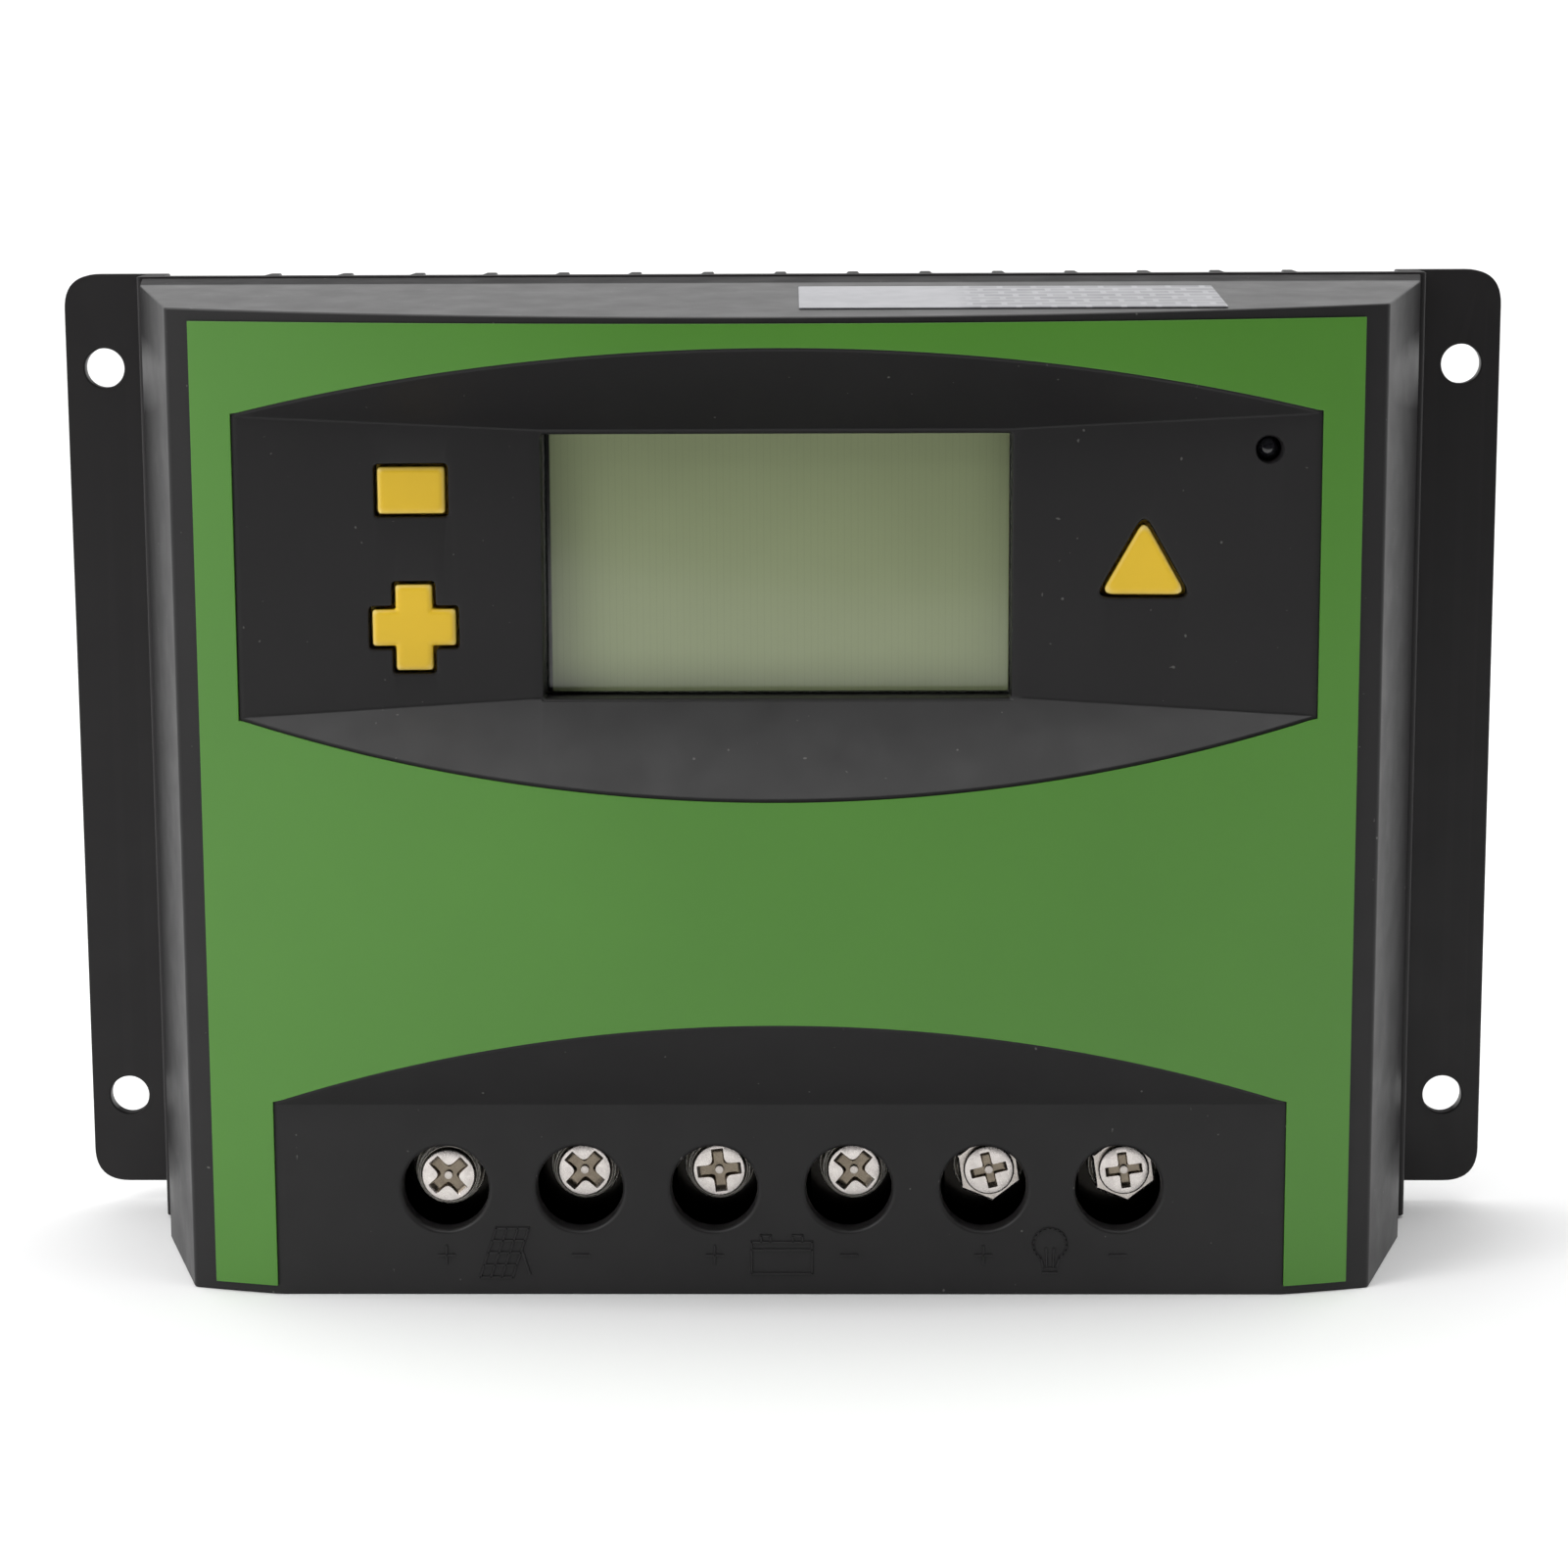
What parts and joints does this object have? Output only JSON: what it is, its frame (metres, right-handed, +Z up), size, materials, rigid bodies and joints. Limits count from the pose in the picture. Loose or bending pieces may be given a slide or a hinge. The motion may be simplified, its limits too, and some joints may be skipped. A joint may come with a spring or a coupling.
{
  "type": "charge controller",
  "caption": "Wall-mounted solar charge controller with a display, push buttons, a green front label, screw terminals and a finned aluminium back plate.",
  "frame": {"origin": "centre of the four mounting holes, on the wall plane at the back of the flanges", "axes": "+X to the right seen from the front, +Y into the wall (the front faces -Y), +Z up"},
  "size_m": [0.188, 0.0504, 0.1261],
  "materials": {
    "cover_plastic": "fine spark-eroded texture, satin",
    "label_film": "printed green polycarbonate film, satin",
    "rating_film": "silver polyester sticker",
    "sink_aluminium": "black anodised extrusion",
    "button_rubber": "yellow moulded plastic",
    "lcd_glass": "display cell with polariser, glossy",
    "lcd_frame": "black painted steel bezel",
    "lcd_backlight": "white light guide",
    "board_laminate": "green solder mask",
    "component_black": "moulded epoxy",
    "capacitor_sleeve": "shrink sleeve",
    "lamp_lens": "smoked lens",
    "thermal_pad": "silicone sheet",
    "terminal_metal": "nickel plated brass",
    "screw_nickel": "nickel plated steel",
    "fastener_zinc": "zinc plated steel",
    "bar_aluminium": "bare aluminium flat",
    "shunt_alloy": "bare resistance alloy strip"
  },
  "bodies": {
    "housing": {"front_cover": "cover_plastic", "heat_sink": "sink_aluminium", "front_label": "label_film", "rating_label": "rating_film", "lcd_glass": "lcd_glass", "lcd_frame": "lcd_frame", "lcd_backlight": "lcd_backlight", "control_board": "board_laminate", "main_board": "board_laminate", "board_header": "component_black", "microcontroller": "component_black", "capacitor_1": "capacitor_sleeve", "capacitor_2": "capacitor_sleeve", "current_shunt": "shunt_alloy", "status_lamp": "lamp_lens", "thermal_pad": "thermal_pad", "mosfet_clamp_bar": "bar_aluminium", "mosfet_1": "component_black", "mosfet_2": "component_black", "mosfet_3": "component_black", "mosfet_4": "component_black", "clamp_bar_screw_1": "fastener_zinc", "clamp_bar_screw_2": "fastener_zinc", "tact_switch_minus": "component_black", "tact_switch_plus": "component_black", "tact_switch_menu": "component_black", "terminal_block_1": "terminal_metal", "terminal_block_2": "terminal_metal", "terminal_block_3": "terminal_metal", "terminal_block_4": "terminal_metal", "terminal_block_5": "terminal_metal", "terminal_block_6": "terminal_metal", "case_screw_1": "fastener_zinc", "case_screw_2": "fastener_zinc", "case_screw_3": "fastener_zinc", "case_screw_4": "fastener_zinc", "main_board_screw_1": "fastener_zinc", "main_board_screw_2": "fastener_zinc", "main_board_screw_3": "fastener_zinc", "main_board_screw_4": "fastener_zinc", "control_board_screw_1": "fastener_zinc", "control_board_screw_2": "fastener_zinc", "control_board_screw_3": "fastener_zinc", "control_board_screw_4": "fastener_zinc"},
    "minus_key": {"button_minus": "button_rubber"},
    "plus_key": {"button_plus": "button_rubber"},
    "menu_key": {"button_menu": "button_rubber"},
    "clamp_1": {"clamp_washers_1": "terminal_metal"},
    "screw_1": {"terminal_screw_1": "screw_nickel"},
    "clamp_2": {"clamp_washers_2": "terminal_metal"},
    "screw_2": {"terminal_screw_2": "screw_nickel"},
    "clamp_3": {"clamp_washers_3": "terminal_metal"},
    "screw_3": {"terminal_screw_3": "screw_nickel"},
    "clamp_4": {"clamp_washers_4": "terminal_metal"},
    "screw_4": {"terminal_screw_4": "screw_nickel"},
    "clamp_5": {"clamp_washers_5": "terminal_metal"},
    "screw_5": {"terminal_screw_5": "screw_nickel"},
    "clamp_6": {"clamp_washers_6": "terminal_metal"},
    "screw_6": {"terminal_screw_6": "screw_nickel"}
  },
  "joints": [
    {"name": "minus_press", "type": "slide", "parent": "housing", "child": "minus_key", "axis": [0, 1, 0], "range_m": [0, 0.0006], "stiffness_N_per_m": 1500, "springref_m": -0.0006},
    {"name": "plus_press", "type": "slide", "parent": "housing", "child": "plus_key", "axis": [0, 1, 0], "range_m": [0, 0.0006], "stiffness_N_per_m": 1500, "springref_m": -0.0006},
    {"name": "menu_press", "type": "slide", "parent": "housing", "child": "menu_key", "axis": [0, 1, 0], "range_m": [0, 0.0006], "stiffness_N_per_m": 1500, "springref_m": -0.0006},
    {"name": "clamp_1_travel", "type": "slide", "parent": "housing", "child": "clamp_1", "axis": [0, -1, 0], "range_m": [-0.0024, 0]},
    {"name": "screw_1_turn", "type": "hinge", "parent": "clamp_1", "child": "screw_1", "pos_m": [-0.04172, -0.0405, -0.0495], "axis": [0, -1, 0], "range_deg": [-1235.4, 0]},
    {"name": "clamp_2_travel", "type": "slide", "parent": "housing", "child": "clamp_2", "axis": [0, -1, 0], "range_m": [0, 0.0021]},
    {"name": "screw_2_turn", "type": "hinge", "parent": "clamp_2", "child": "screw_2", "pos_m": [-0.02468, -0.038, -0.0495], "axis": [0, -1, 0], "range_deg": [0, 1081]},
    {"name": "clamp_3_travel", "type": "slide", "parent": "housing", "child": "clamp_3", "axis": [0, -1, 0], "range_m": [0, 0.0021]},
    {"name": "screw_3_turn", "type": "hinge", "parent": "clamp_3", "child": "screw_3", "pos_m": [-0.00764, -0.038, -0.0495], "axis": [0, -1, 0], "range_deg": [0, 1081]},
    {"name": "clamp_4_travel", "type": "slide", "parent": "housing", "child": "clamp_4", "axis": [0, -1, 0], "range_m": [0, 0.0021]},
    {"name": "screw_4_turn", "type": "hinge", "parent": "clamp_4", "child": "screw_4", "pos_m": [0.0094, -0.038, -0.0495], "axis": [0, -1, 0], "range_deg": [0, 1081]},
    {"name": "clamp_5_travel", "type": "slide", "parent": "housing", "child": "clamp_5", "axis": [0, -1, 0], "range_m": [0, 0.0021]},
    {"name": "screw_5_turn", "type": "hinge", "parent": "clamp_5", "child": "screw_5", "pos_m": [0.02644, -0.038, -0.0495], "axis": [0, -1, 0], "range_deg": [0, 1081]},
    {"name": "clamp_6_travel", "type": "slide", "parent": "housing", "child": "clamp_6", "axis": [0, -1, 0], "range_m": [0, 0.0021]},
    {"name": "screw_6_turn", "type": "hinge", "parent": "clamp_6", "child": "screw_6", "pos_m": [0.04347, -0.038, -0.0495], "axis": [0, -1, 0], "range_deg": [0, 1081]}
  ],
  "couplings": [
    {"joint": "screw_1_turn", "follows": "clamp_1_travel", "rad_per_m": 8976},
    {"joint": "screw_2_turn", "follows": "clamp_2_travel", "rad_per_m": 8976},
    {"joint": "screw_3_turn", "follows": "clamp_3_travel", "rad_per_m": 8976},
    {"joint": "screw_4_turn", "follows": "clamp_4_travel", "rad_per_m": 8976},
    {"joint": "screw_5_turn", "follows": "clamp_5_travel", "rad_per_m": 8976},
    {"joint": "screw_6_turn", "follows": "clamp_6_travel", "rad_per_m": 8976}
  ]
}
